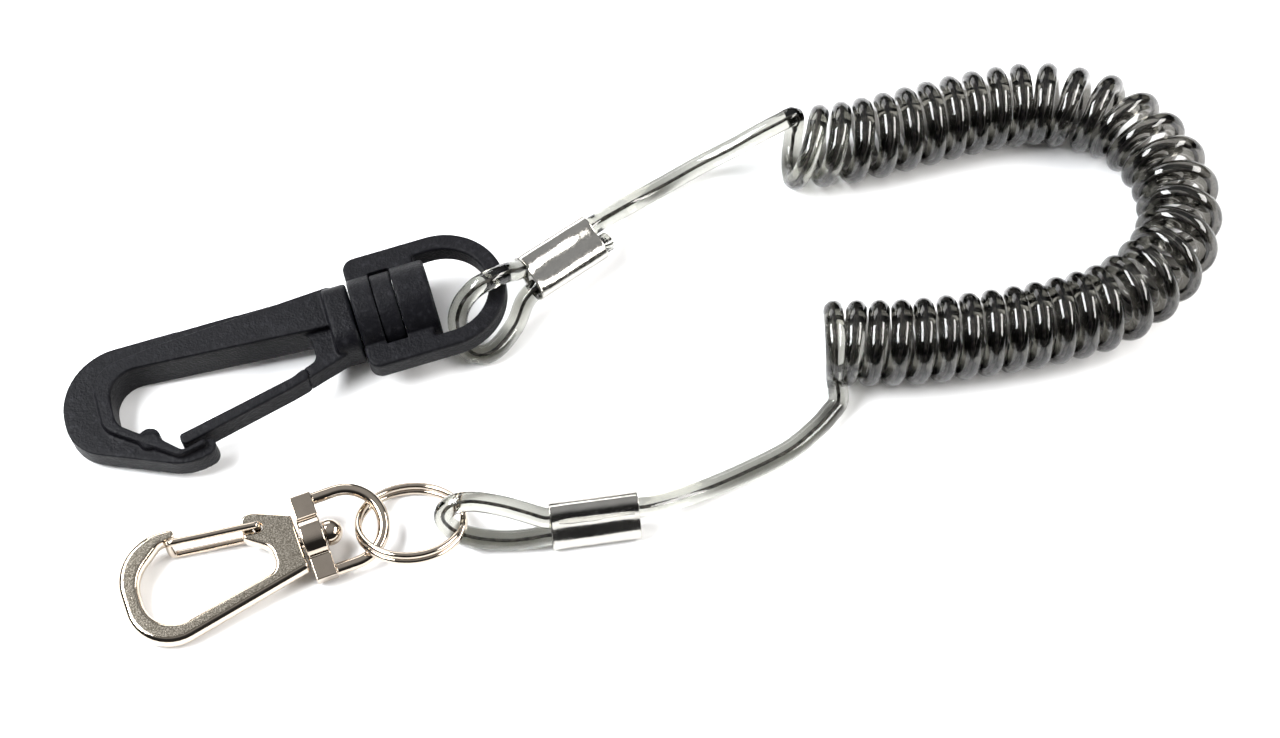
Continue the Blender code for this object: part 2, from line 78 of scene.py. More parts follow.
# The first turns lean back by up to this much, less with each turn; the last part of a turn leans back too.
FIRST_LEAN = 4.0
LEANING_TURNS = 5.2
LEAN_FADE = 1.2
LAST_LEAN = 0.4
LAST_RING_SHARE = 0.45

# The crimp sleeves, each with a valley pressed in along it between its two strands.
SLEEVE_LENGTH = 14.9
SLEEVE_WIDTH = 8.6
SLEEVE_THICKNESS = 4.6
SLEEVE_WALL = 0.5
SLEEVE_RECESS = 0.45
SLEEVE_STATIONS = 60
SLEEVE_SIDES = 96
SLEEVE_SQUARENESS = 0.8
SLEEVE_DENTS = 14
VALLEY_HALF_WIDTH = 1.7
VALLEY_SHIFT = 0.5
UPPER_VALLEY = 0.6
LOWER_VALLEY = 0.55
UPPER_SEED = 3
LOWER_SEED = 8

# The strands in a sleeve: how far off its middle, how far their straight parts stop short of its ends,
# and how far in from its ends they have a second point.
STRAND_OFFSET = 1.9
STRAND_INSET = 1.5
STRAND_STEP = 3.0
# The cut end at the upper sleeve, which stands out of it by this much.
CUT_END_REACH = 1.6
CUT_WIRES = 9
CUT_WIRE_RADIUS = 0.1
TORN_FLAKES = 7
FLAKE_SIZE = 0.42
CUT_END_SEED = 11

# Places and attitudes: x, y, z, then heading, tilt (up towards +u) and roll (up towards +v), in degrees.
HOOK_SWIVEL = ((11.2, 21.5, 6.95), (16.6, 4.3, 0.0))
CLIP_SWIVEL = ((4.5, -19.4, 3.84), (20.5, 2.6, 5.5))
BAIL_ROLL = 12.0
RING_PLACE = ((22.6, -16.2, 4.6), (0.0, 1.5, -22.0))
UPPER_STRANDS = ((47.1, 34.6, 6.9), (40.5, -6.0, 20.0))
LOWER_STRANDS = ((53.2, -15.5, 3.95), (8.6, 0.0, 65.0))
UPPER_SLEEVE = ((46.9, 34.4, 7.0), (40.5, -6.0, 26.0))
LOWER_SLEEVE = ((53.2, -15.5, 3.95), (8.6, 0.0, 59.0))

# The plastic snap hook, along its swivel axis (u), across it (v) and through it (w).
HOOK_HALF_PLATE = 2.1
HOOK_HALF_RIM = 3.45
NOSE_BUMP = (-38.2, -12.6)
NOSE_BUMP_RADIUS = 1.9
NOSE_BUMP_SINK = 0.35
NECK_WIDTH = 13.3
NECK_THICKNESS = 10.4
NECK_CORNER = 3.6
NECK_SHIFT = -0.4
NECK_SPAN = (-4.0, 0.42)
POST_START = -2.0
POST_RADIUS = 2.2
DISC_RADIUS = 6.7
DISC_EDGE = 0.25
DISC_SPAN = (4.55, 8.25)
GATE_HINGE = (-10.9, -8.75)
GATE_THICKNESS = 4.6
ARM_SEAT_RADIUS = 1.34
GATE_ROOT_RADIUS = 1.24

# Its swivel eye: a barrel round the disc, with a window through it, and a D-shaped loop.
BARREL_RADIUS = 7.0
BARREL_EDGE = 0.35
BARREL_SPAN = (0.6, 14.3)
WINDOW_SPAN = (4.5, 8.3)
WINDOW_CLEARANCE = 0.55
LOOP_LENGTH = 27.2
LOOP_HALF_WIDTH = 11.3
LOOP_RAIL = 3.0
LOOP_THICKNESS = 4.0
LOOP_CORNER = 2.2
LOOP_HOLE_CORNER = 0.4
LOOP_HOLE_START = BARREL_SPAN[1] - 1.5

# The die-cast clip and its bail.
CLIP_THICKNESS = 3.1
CLIP_ROLL = 1.45
CLIP_ROLL_STEPS = 8
CLIP_CORNER_STEPS = 12
CLIP_PIVOT = (-6.1, 4.5)
PIVOT_HOLE_RADIUS = 0.95
GATE_WIRE_RADIUS = 0.62
GATE_WIRE_HEIGHT = 2.75
GATE_WIRE_HEEL = 0.55
GATE_WIRE_TIP = (-14.7, 2.0)
BAIL_SPAN = (0.3, 4.0)
BAIL_HALF_WIDTH = 7.5
BAIL_BAR_THICKNESS = 3.0
BAIL_WIRE_RADIUS = 1.05
BAIL_ARC_CENTRE = 7.6
BAIL_WIRE_ROOT = BAIL_SPAN[1] - 1.5
BOSS_RADIUS = 3.8
BORE_SPAN = (-1.0, 6.0)
BORE_CLEARANCE = 0.3
RIVET_SHANK_RADIUS = 1.2
RIVET_HEAD_RADIUS = 2.25
RIVET_HEAD_GAP = 0.1
RIVET_SPAN = (-0.55, 7.1)

# The split ring, whose two turns almost touch: the share that is left of the wire's thickness.
RING_WIRE = 1.2
RING_RADIUS = 8.8
RING_STEPS = 260
RING_TOUCH_SHARE = 0.985
# Where the cut ends are, in degrees round the ring; the gap from there to each, and the climb, in radians.
RING_START = -14.0
RING_GAP = 0.16
RING_CLIMB = 0.3

# Cutters stand out of what they cut by this much.
CUTTER_MARGIN = 1.0
# The longest side of a rounded corner, and how many sides a whole and a half circle have.
ARC_CHORD = 0.45
CIRCLE_SIDES = 32
HALF_CIRCLE_STEPS = 60


def arc_points(centre, radius, start, end, count):
    """Points round a circle from one angle to another, in degrees."""
    angles = [math.radians(start + (end - start) * step / (count - 1)) for step in range(count)]
    return [Vector((centre[0] + radius * math.cos(a), centre[1] + radius * math.sin(a))) for a in angles]


# Outlines, as u, v and corner radius.
NOSE_EDGE = [
    (-27.7, -18.0, 1.8),
    (-27.7, -15.1, 0.9),
    (-33.2, -16.6, 1.3),
    (-36.2, -13.6, 0.6),
    (-37.2, -11.8, 0.8),
    (-39.2, -11.6, 0.6),
]
OPENING_EDGE = [
    (-43.2, -8.4, 3.5),
    (-43.2, 1.9, 5.0),
    (-7.7, -1.2, 2.0),
    (-7.7, -6.6, 1.6),
    (-9.9, -7.4, 0.3),
]
HOOK_OUTLINE = [
    (-2.5, 6.3, 0.0),
    (-51.6, 7.2, 11.0),
    (-51.6, -10.2, 8.0),
    (-33.0, -19.2, 9.0),
    *NOSE_EDGE,
    *OPENING_EDGE,
    *[(p.x, p.y, 0.0) for p in arc_points(GATE_HINGE, ARM_SEAT_RADIUS, 62, -42, 9)],
    (-2.5, -7.3, 0.0),
]
RIM_OUTLINE = [
    (-2.5, 6.2, 0.0),
    (-34.0, 4.5, 8.0),
    (-45.4, 3.2, 5.0),
    (-45.4, -8.6, 4.0),
    (-34.0, -17.7, 2.0),
    (-29.4, -16.9, 0.6),
    (-28.9, -15.65, 0.3),
    (-33.2, -16.75, 1.3),
    (-36.05, -13.75, 0.6),
    (-37.05, -11.95, 0.8),
    (-39.1, -11.75, 0.6),
    (-43.05, -8.3, 3.5),
    (-43.05, 1.75, 5.0),
    (-7.2, -1.35, 0.6),
    (-2.5, -1.6, 0.0),
]
GATE_OUTLINE = [
    (-12.6, -8.55, 3.0),
    (-33.3, -13.1, 0.6),
    (-33.4, -15.4, 1.0),
    (-30.5, -14.75, 0.0),
    (-13.5, -10.75, 0.0),
    *[(p.x, p.y, 0.0) for p in arc_points(GATE_HINGE, GATE_ROOT_RADIUS, -70, 70, 13)],
]
# Corner u, v and radius, then the rolled width of the side that starts at that corner.
CLIP_OUTLINE = [
    (-0.15, 4.8, 0.5, 0.3),
    (-0.15, -5.4, 0.5, 1.3),
    (-31.0, -11.8, 7.8, 1.1),
    (-31.0, 10.6, 8.6, 0.9),
    (-19.1, 9.6, 1.0, 0.45),
    (-19.4, 7.6, 0.7, 0.45),
    (-22.3, 7.3, 1.6, 0.8),
    (-27.6, 3.2, 6.2, 0.8),
    (-27.6, -7.7, 5.2, 0.8),
    (-5.2, -3.5, 1.9, 0.6),
    (-5.2, 0.3, 2.2, 0.6),
    (-9.0, 3.3, 1.0, 0.45),
    (-8.7, 7.8, 1.9, 0.45),
    (-6.0, 7.5, 1.2, 0.45),
]

# Points that the cord and the axis of its coil pass through.
UPPER_EYE_ROUTE = [
    (39.3, 30.0, 9.9),
    (37.9, 28.6, 11.6),
    (36.4, 27.2, 12.7),
    (34.8, 26.0, 13.2),
    (33.0, 25.0, 12.9),
    (31.4, 24.3, 11.5),
    (30.0, 23.6, 9.2),
    (29.1, 22.5, 6.0),
    (29.5, 20.8, 3.0),
    (31.1, 18.6, 1.8),
    (33.4, 17.8, 1.8),
    (36.0, 19.4, 1.8),
    (38.9, 23.4, 2.6),
    (40.8, 27.0, 5.1),
]
UPPER_LEAD_ROUTE = [
    (52.9, 42.1, 6.2),
    (54.6, 44.2, 4.9),
    (59.4, 49.3, 2.2),
    (65.4, 53.5, 1.8),
    (71.5, 56.7, 3.2),
    (77.4, 58.4, 6.1),
    (81.5, 59.7, 8.3),
    (85.6, 61.2, 9.9),
    (88.2, 62.5, 10.2),
]
COIL_AXIS_ROUTE = [
    (88.0, 57.2),
    (98.4, 58.8),
    (107.6, 61.3),
    (116.7, 64.1),
    (125.8, 66.3),
    (134.1, 67.1),
    (144.2, 64.7),
    (149.0, 61.1),
    (152.2, 57.1),
    (154.5, 52.8),
    (155.8, 48.1),
    (155.9, 43.2),
    (154.7, 37.5),
    (152.0, 32.8),
    (148.5, 29.1),
    (144.2, 25.7),
    (139.1, 23.3),
    (130.5, 20.8),
    (122.7, 19.2),
    (114.0, 17.9),
    (105.4, 17.0),
    (93.7, 16.8),
]
LOWER_LEAD_ROUTE = [
    (94.8, 8.6, 2.3),
    (93.3, 6.3, 1.8),
    (91.0, 3.5, 1.8),
    (86.0, -1.0, 1.8),
    (78.0, -5.5, 1.8),
    (71.2, -8.9, 2.2),
    (65.5, -11.9, 4.0),
    (61.3, -13.6, 5.3),
]
LOWER_EYE_ROUTE = [
    (44.9, -15.8, 5.65),
    (42.0, -15.2, 6.3),
    (37.5, -14.3, 7.2),
    (32.6, -13.8, 7.7),
    (29.2, -14.2, 6.8),
    (28.0, -15.0, 4.3),
    (29.5, -16.2, 1.95),
    (33.2, -17.6, 1.8),
    (38.5, -18.1, 1.8),
    (42.3, -17.8, 1.95),
    (45.1, -17.4, 2.25),
]

helpers = []


# ---------------------------------------------------------------- materials


class Nodes:
    """A material's node tree, with short calls to add and join nodes."""

    def __init__(self, name):
        self.material = bpy.data.materials.new(name)
        self.material.use_nodes = True
        self.tree = self.material.node_tree
        self.shader = self.tree.nodes["Principled BSDF"]
        self.output = self.tree.nodes["Material Output"]
        self.place = self.add("ShaderNodeTexCoord").outputs["Object"]

    def add(self, kind, **settings):
        node = self.tree.nodes.new(kind)
        for key, value in settings.items():
            setattr(node, key, value)
        return node

    def join(self, source, target):
        self.tree.links.new(source, target)

    def noise(self, per_mm, detail):
        mapping = self.add("ShaderNodeMapping")
        mapping.inputs["Scale"].default_value = [per_mm / MM] * 3
        self.join(self.place, mapping.inputs["Vector"])
        noise = self.add("ShaderNodeTexNoise")
        noise.inputs["Scale"].default_value = 1.0
        noise.inputs["Detail"].default_value = detail
        self.join(mapping.outputs["Vector"], noise.inputs["Vector"])
        return noise.outputs["Fac"]

    def ramp(self, source, stops):
        ramp = self.add("ShaderNodeValToRGB")
        while len(ramp.color_ramp.elements) < len(stops):
            ramp.color_ramp.elements.new(0.5)
        for element, (position, colour) in zip(ramp.color_ramp.elements, stops):
            element.position = position
            element.color = (*colour, 1.0)
        self.join(source, ramp.inputs["Fac"])
        return ramp.outputs["Color"]

    def grey_ramp(self, source, low, high, start=0.3, end=0.7):
        spread = self.add("ShaderNodeMapRange")
        spread.inputs["From Min"].default_value = start
        spread.inputs["From Max"].default_value = end
        spread.inputs["To Min"].default_value = low
        spread.inputs["To Max"].default_value = high
        self.join(source, spread.inputs["Value"])
        return spread.outputs["Result"]

    def bump(self, heights):
        """Heights are (source, depth in mm) pairs, laid one on the other."""
        normal = None
        for source, depth in heights:
            bump = self.add("ShaderNodeBump")
            bump.inputs["Strength"].default_value = 1.0
            bump.inputs["Distance"].default_value = depth * MM
            self.join(source, bump.inputs["Height"])
            if normal:
                self.join(normal, bump.inputs["Normal"])
            normal = bump.outputs["Normal"]
        self.join(normal, self.shader.inputs["Normal"])

    def set(self, **values):
        for key, value in values.items():
            self.shader.inputs[key.replace("_", " ").title().replace("Ior", "IOR")].default_value = value


def black_plastic():
    """Dark moulding with a fine spark-eroded grain and faint pale scuffs."""
    made = Nodes("black_moulded_plastic")
    grain = made.noise(2.4, 3.0)
    scuff = made.noise(0.9, 4.0)
    cloud = made.noise(0.12, 2.0)
    colour = made.ramp(scuff, [
        (0.0, (0.0024, 0.0024, 0.0034)),
        (0.56, (0.0036, 0.0036, 0.0048)),
        (0.8, (0.013, 0.013, 0.0155)),
    ])
    made.join(colour, made.shader.inputs["Base Color"])
    made.join(made.grey_ramp(cloud, 0.4, 0.52), made.shader.inputs["Roughness"])
    made.bump([(grain, 0.13), (scuff, 0.09)])
    made.set(specular_ior_level=0.085)
    return made.material


def satin_nickel(face_axis):
    """Tumbled nickel plate: speckled and pitted where it faces along this axis, polished elsewhere."""
    made = Nodes("tumbled_nickel_plate")
    facing = made.add("ShaderNodeVectorMath", operation="DOT_PRODUCT")
    facing.inputs[1].default_value = face_axis
    made.join(made.tree.nodes["Texture Coordinate"].outputs["Normal"], facing.inputs[0])
    square = made.add("ShaderNodeMath", operation="POWER")
    square.inputs[1].default_value = 2.0
    made.join(facing.outputs["Value"], square.inputs[0])
    flat = made.grey_ramp(square.outputs["Value"], 0.0, 1.0, 0.9, 0.985)
    pits = made.noise(8.0, 3.0)
    flecks = made.noise(4.6, 4.0)

    def only_flat(source):
        share = made.add("ShaderNodeMath", operation="MULTIPLY")
        made.join(source, share.inputs[0])
        made.join(flat, share.inputs[1])
        return share.outputs["Value"]

    colour = made.ramp(only_flat(flecks), [
        (0.0, (0.6, 0.52, 0.43)),
        (0.34, (0.22, 0.19, 0.145)),
        (0.5, (0.43, 0.385, 0.315)),
        (0.66, (0.78, 0.71, 0.6)),
    ])
    made.join(colour, made.shader.inputs["Base Color"])
    made.join(made.grey_ramp(only_flat(pits), 0.08, 0.17, 0.0, 0.6), made.shader.inputs["Roughness"])
    made.bump([(only_flat(pits), 0.004), (only_flat(flecks), 0.007)])
    made.set(metallic=1.0)
    return made.material


def bright_nickel(name, colour, rough, dents):
    """Polished plate: a colour, its lowest and highest roughness, and the depth of its waves in mm."""
    made = Nodes(name)
    wave = made.noise(0.35, 2.0)
    haze = made.noise(2.4, 3.0)
    made.join(made.grey_ramp(haze, *rough), made.shader.inputs["Roughness"])
    tone = made.ramp(wave, [(0.25, tuple(0.88 * c for c in colour)), (0.75, colour)])
    made.join(tone, made.shader.inputs["Base Color"])
    made.bump([(wave, dents), (haze, 0.004)])
    made.set(metallic=1.0)
    return made.material


def steel_strand():
    """Dark oiled steel, for the cord's core and its cut wires."""
    made = Nodes("dark_steel_strand")
    oil = made.noise(1.1, 3.0)
    colour = made.ramp(oil, [(0.3, (0.03, 0.03, 0.03)), (0.7, (0.16, 0.15, 0.14))])
    made.join(colour, made.shader.inputs["Base Color"])
    made.join(made.grey_ramp(oil, 0.3, 0.5), made.shader.inputs["Roughness"])
    made.set(metallic=0.9)
    return made.material


def smoke_jacket():
    """Clear smoke-grey plastic, with painted shade darkening it in the coil; its colour builds up with the
    depth looked through.
    """
    made = Nodes("clear_smoke_jacket_painted_coil_shade")
    wave = made.noise(0.5, 2.0)
    made.join(made.grey_ramp(wave, 0.02, 0.07), made.shader.inputs["Roughness"])
    made.bump([(wave, 0.02)])
    along = made.add("ShaderNodeSeparateXYZ")
    made.join(made.place, along.inputs["Vector"])
    # Painted shade: the base colour darkens from the leads into the coil, standing for the shade among its
    # stacked turns.
    painted_coil_shade_mask = made.grey_ramp(along.outputs["X"], 0.0, 1.0, *(MM * edge for edge in SHADE_AND_SWELL_SPAN))
    tint_and_painted_shade = made.ramp(painted_coil_shade_mask, [(0.0, (0.84, 0.84, 0.8)), (1.0, (0.32, 0.31, 0.3))])
    made.join(tint_and_painted_shade, made.shader.inputs["Base Color"])
    made.set(ior=1.5, transmission_weight=1.0)
    absorb = made.add("ShaderNodeVolumeAbsorption")
    absorb.inputs["Color"].default_value = (0.45, 0.45, 0.41, 1.0)
    absorb.inputs["Density"].default_value = 350.0
    made.join(absorb.outputs["Volume"], made.output.inputs["Volume"])
    return made.material


def floor_paper():
    made = Nodes("pale_floor")
    tone = made.noise(0.02, 2.0)
    colour = made.ramp(tone, [(0.3, (0.9, 0.9, 0.905)), (0.7, (0.92, 0.92, 0.925))])
    made.join(colour, made.shader.inputs["Base Color"])
    made.set(roughness=0.55, specular_ior_level=0.25)
    return made.material


# ---------------------------------------------------------------- shapes


def placed_frame(name, place, parent=None):
    """An empty whose x axis is u, y axis is v and z axis is w."""
    at, (heading, tilt, roll) = place
    empty = bpy.data.objects.new(name, None)
    bpy.context.collection.objects.link(empty)
    empty.location = Vector(at) * MM
    empty.rotation_euler = (math.radians(roll), math.radians(-tilt), math.radians(heading))
    empty.parent = parent
    helpers.append(empty)
    return empty


def add_object(name, mesh, parent=None):
    thing = bpy.data.objects.new(name, mesh)
    bpy.context.collection.objects.link(thing)
    thing.parent = parent
    return thing


def mesh_from(name, shape):
    bmesh.ops.recalc_face_normals(shape, faces=shape.faces)
    mesh = bpy.data.meshes.new(name)
    shape.to_mesh(mesh)
    shape.free()
    return mesh


def inset_corners(corners, share):
    """The corners with every side moved inwards by a share of its own rolled width; radii follow."""
    least_radius = 0.06
    points = [Vector(corner[:2]) for corner in corners]
    sides = list(zip(points, points[1:] + points[:1]))
    ahead = [(after - here).normalized() for here, after in sides]
    area = sum(a.x * b.y - a.y * b.x for a, b in sides)
    spin = math.copysign(1.0, area)
    moved = []
    for index, (here, corner) in enumerate(zip(points, corners)):
        before, after = ahead[index - 1], ahead[index]
        deep_before, deep_after = share * corners[index - 1][3], share * corner[3]
        turn = before.x * after.y - before.y * after.x
        shift = (deep_before * after - deep_after * before) * spin / turn
        depth = min(deep_before, deep_after)
        radius = corner[2] - depth if spin * turn > 0 else corner[2] + depth
        moved.append((here.x + shift.x, here.y + shift.y, max(radius, least_radius)))
    return moved


def cast_plate_mesh(name, corners, half, lift):
    """A plate whose rims roll over, from its flat faces down to a short upright wall."""
    shape = bmesh.new()
    layers = []
    for step in range(CLIP_ROLL_STEPS + 1):
        angle = math.pi / 2 * step / CLIP_ROLL_STEPS
        layers.append((1 - math.cos(angle), half - lift + lift * math.sin(angle)))
    levels = [(share, -height) for share, height in reversed(layers)] + layers
    rings = []
    for share, height in levels:
        outline = rounded_outline(inset_corners(corners, share), CLIP_CORNER_STEPS)
        rings.append([shape.verts.new(Vector((p.x, p.y, height)) * MM) for p in outline])
    count = len(rings[0])
    for near, far in zip(rings, rings[1:]):
        for index in range(count):
            after = (index + 1) % count
            shape.faces.new((near[index], near[after], far[after], far[index]))
    shape.faces.new(rings[0])
    shape.faces.new(rings[-1])
    return mesh_from(name, shape)


def rounded_outline(corners, steps=None):
    """The corners joined by straight lines, each one with a radius replaced by its arc."""
    least_steps = 4
    outline = []
    count = len(corners)
    for index, (u, v, radius, *_) in enumerate(corners):
        here = Vector((u, v))
        if not radius:
            outline.append(here)
            continue
        before = (Vector(corners[index - 1][:2]) - here).normalized()
        after = (Vector(corners[(index + 1) % count][:2]) - here).normalized()
        half = before.angle(after) / 2
        reach = radius / math.tan(half)
        centre = here + (before + after).normalized() * radius / math.sin(half)
        first = here + before * reach - centre
        last = here + after * reach - centre
        turn = first.angle_signed(last)
        pieces = steps or max(least_steps, round(radius * abs(turn) / ARC_CHORD))
        for step in range(pieces + 1):
            angle = -turn * step / pieces
            spun = Vector((
                first.x * math.cos(angle) - first.y * math.sin(angle),
                first.x * math.sin(angle) + first.y * math.cos(angle),
            ))
            outline.append(centre + spun)
    return outline


def plate_mesh(name, outline, low, high):
    shape = bmesh.new()
    corners = [shape.verts.new(Vector((p[0], p[1], low)) * MM) for p in outline]
    face = shape.faces.new(corners)
    lifted = bmesh.ops.extrude_face_region(shape, geom=[face])["geom"]
    risen = [item for item in lifted if isinstance(item, bmesh.types.BMVert)]
    bmesh.ops.translate(shape, verts=risen, vec=(0, 0, (high - low) * MM))
    return mesh_from(name, shape)


def add_plate(name, outline, half, parent):
    """A flat plate of this outline, as far below its middle as above."""
    return add_object(name, plate_mesh(name, outline, -half, half), parent)


def circle(centre, radius):
    points = []
    for step in range(CIRCLE_SIDES):
        angle = math.tau * step / CIRCLE_SIDES
        points.append(Vector((centre[0] + radius * math.cos(angle), centre[1] + radius * math.sin(angle))))
    return points


def turned_mesh(name, profile, sides):
    """A solid turned about the u axis from (u, radius) pairs that start and end on the axis."""
    shape = bmesh.new()
    rings = []
    for u, radius in profile:
        if radius == 0:
            rings.append([shape.verts.new((u * MM, 0, 0))])
            continue
        ring = []
        for side in range(sides):
            angle = math.tau * side / sides
            ring.append(shape.verts.new(
                (u * MM, radius * math.cos(angle) * MM, radius * math.sin(angle) * MM)
            ))
        rings.append(ring)
    for near, far in zip(rings, rings[1:]):
        for side in range(sides):
            after = (side + 1) % sides
            quad = [
                near[side % len(near)],
                near[after % len(near)],
                far[after % len(far)],
                far[side % len(far)],
            ]
            shape.faces.new(list(dict.fromkeys(quad)))
    return mesh_from(name, shape)


def add_turned(name, profile, parent, sides=64):
    return add_object(name, turned_mesh(name, profile, sides), parent)


def block_mesh(name, low, high):
    shape = bmesh.new()
    bmesh.ops.create_cube(shape, size=1.0)
    centre = (Vector(low) + Vector(high)) / 2 * MM
    size = (Vector(high) - Vector(low)) * MM
    for vert in shape.verts:
        vert.co = Vector(a * b for a, b in zip(vert.co, size)) + centre
    return mesh_from(name, shape)


def boolean(target, other, operation):
    modifier = target.modifiers.new(f"{operation.lower()} {other.name}", "BOOLEAN")
    modifier.operation = operation
    modifier.solver = "EXACT"
    modifier.object = other
    other.hide_render = True
    helpers.append(other)


def bevel(thing, width, segments, angle=40):
    modifier = thing.modifiers.new("rounded edges", "BEVEL")
    modifier.width = width * MM
    modifier.segments = segments
    modifier.limit_method = "ANGLE"
    modifier.angle_limit = math.radians(angle)
    modifier.harden_normals = True


def melt(thing, voxel, passes):
    """Fuses the shape into one skin and softens every edge, as a mould does."""
    remesh = thing.modifiers.new("one skin", "REMESH")
    remesh.mode = "VOXEL"
    remesh.voxel_size = voxel * MM
    remesh.use_smooth_shade = True
    soft = thing.modifiers.new("softened", "SMOOTH")
    soft.factor = 0.5
    soft.iterations = passes


def smooth_route(points, spacing):
    """Points at even spacing on one smooth curve through these points."""
    steps = 24
    dense = []
    count = len(points)
    for index in range(count - 1):
        before = points[max(index - 1, 0)]
        start, end = points[index], points[index + 1]
        after = points[min(index + 2, count - 1)]
        for step in range(steps):
            t = step / steps
            dense.append(0.5 * (
                2 * start
                + (end - before) * t
                + (2 * before - 5 * start + 4 * end - after) * t**2
                + (3 * start - before - 3 * end + after) * t**3
            ))
    dense.append(points[-1])
    along = [0.0]
    for near, far in zip(dense, dense[1:]):
        along.append(along[-1] + (far - near).length)
    pieces = max(2, round(along[-1] / spacing))
    route = []
    index = 0
    for piece in range(pieces + 1):
        wanted = along[-1] * piece / pieces
        while index < len(dense) - 2 and along[index + 1] < wanted:
            index += 1
        share = (wanted - along[index]) / (along[index + 1] - along[index])
        route.append(dense[index].lerp(dense[index + 1], share))
    return route


def swept_mesh(name, route, section, twist=0.0, swell=None):
    """A section of (out, round) points swept along a route in mm, turned by twist radians per mm."""
    shape = bmesh.new()
    side = Vector((0.0, 0.0, 1.0))
    loops = []
    travelled = 0.0
    count = len(route)
    for index, point in enumerate(route):
        ahead = (route[min(index + 1, count - 1)] - route[max(index - 1, 0)]).normalized()
        side = (side - ahead * side.dot(ahead)).normalized()
        up = ahead.cross(side)
        if index:
            travelled += (point - route[index - 1]).length
        spin = twist * travelled
        share = swell(point) if swell else 1.0
        loops.append([
            shape.verts.new(MM * (point + share * out * (
                side * math.cos(angle + spin) + up * math.sin(angle + spin)
            )))
            for out, angle in section
        ])
    sides = len(section)
    for near, far in zip(loops, loops[1:]):
        for step in range(sides):
            after = (step + 1) % sides
            shape.faces.new((near[step], near[after], far[after], far[step]))
    shape.faces.new(loops[0])
    shape.faces.new(loops[-1])
    return mesh_from(name, shape)


def round_section(radius, sides):
    return [(radius, math.tau * step / sides) for step in range(sides)]


def settled(thing, name, body, material, replaced=(), sharp=None):
    """The shape as evaluated, as a new piece in the row frame that rides on a body."""
    bpy.context.view_layer.update()
    graph = bpy.context.evaluated_depsgraph_get()
    shown = thing.evaluated_get(graph)
    mesh = bpy.data.meshes.new_from_object(shown, depsgraph=graph)
    mesh.transform(thing.matrix_world)
    mesh.name = name
    mesh.materials.clear()
    mesh.materials.append(material)
    mesh.shade_smooth()
    if sharp:
        mesh.set_sharp_from_angle(angle=math.radians(sharp))
    piece = bpy.data.objects.new(name, mesh)
    bpy.context.collection.objects.link(piece)
    helpers.append(thing)
    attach(piece, body)
    if replaced:
        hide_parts(*replaced)
    return piece


def clear_helpers():
    for thing in helpers:
        bpy.data.objects.remove(thing, do_unlink=True)
    helpers.clear()


# ---------------------------------------------------------------- camera, floor and light

VIEW_CENTRE = Vector((60.7, 16.0, 0.0)) * MM
VIEW_DISTANCE = 463.8 * MM
VIEW_ELEVATION = math.radians(60.0)
CEILING_DIRECTION = (0.0, 0.33, 0.94)
CEILING_FADE = (0.35, 1.0)
CEILING_LIGHT = 0.5
ROOM_LIGHT = 0.03
# Each softbox's name, place, size, power and colour.
SOFTBOXES = [
    ("left", (-340, 30, 470), (520, 240), 9.8, (0.97, 0.985, 1.0)),
    ("right", (540, 10, 350), (520, 170), 4.8, (1.0, 0.985, 0.96)),
    ("back", (-150, 540, 250), (360, 240), 1.0, (1.0, 1.0, 1.0)),
]
FLOOR_HALF_SIDE = 2500
FLOOR_DEPTH = 4.0


def add_camera():
    data = bpy.data.cameras.new("camera")
    data.lens = 75.0
    data.sensor_width = 36.0
    data.clip_start = 0.01
    camera = bpy.data.objects.new("camera", data)
    bpy.context.collection.objects.link(camera)
    back = Vector((0.0, -math.cos(VIEW_ELEVATION), math.sin(VIEW_ELEVATION)))
    camera.location = VIEW_CENTRE + back * VIEW_DISTANCE
    camera.rotation_euler = (math.pi / 2 - VIEW_ELEVATION, 0.0, 0.0)
    bpy.context.scene.camera = camera


def add_softbox(name, at, size, power, colour):
    data = bpy.data.lights.new(name, "AREA")
    data.shape = "RECTANGLE"
    data.size, data.size_y = (length * MM for length in size)
    data.energy = power
    data.color = colour
    light = bpy.data.objects.new(name, data)
    bpy.context.collection.objects.link(light)
    light.location = Vector(at) * MM
    aim = VIEW_CENTRE - light.location
    light.rotation_euler = aim.to_track_quat("-Z", "Y").to_euler()


def add_studio():
    """A dim room, paler overhead, with a softbox on each side of the table and a weak one behind it."""
    world = bpy.data.worlds.new("studio")
    world.use_nodes = True
    tree = world.node_tree
    background = tree.nodes["Background"]
    background.inputs["Color"].default_value = (0.97, 0.98, 1.0, 1.0)
    place = tree.nodes.new("ShaderNodeTexCoord")
    overhead = tree.nodes.new("ShaderNodeVectorMath")
    overhead.operation = "DOT_PRODUCT"
    overhead.inputs[1].default_value = CEILING_DIRECTION
    tree.links.new(place.outputs["Generated"], overhead.inputs[0])
    fade = tree.nodes.new("ShaderNodeMapRange")
    fade.interpolation_type = "SMOOTHSTEP"
    fade.inputs["From Min"].default_value, fade.inputs["From Max"].default_value = CEILING_FADE
    fade.inputs["To Min"].default_value = ROOM_LIGHT
    fade.inputs["To Max"].default_value = CEILING_LIGHT
    tree.links.new(overhead.outputs["Value"], fade.inputs["Value"])
    tree.links.new(fade.outputs["Result"], background.inputs["Strength"])
    bpy.context.scene.world = world
    bpy.context.scene.view_settings.view_transform = "Standard"
    for softbox in SOFTBOXES:
        add_softbox(*softbox)
    side = FLOOR_HALF_SIDE
    floor = add_object("floor", block_mesh("floor", (-side, -side, -FLOOR_DEPTH), (side, side, 0.0)))
    floor.data.materials.append(floor_paper())


# ---------------------------------------------------------------- the plastic snap hook


def box_outline(half_u, half_v, radius):
    return rounded_outline([
        (-half_u, -half_v, radius),
        (half_u, -half_v, radius),
        (half_u, half_v, radius),
        (-half_u, half_v, radius),
    ])


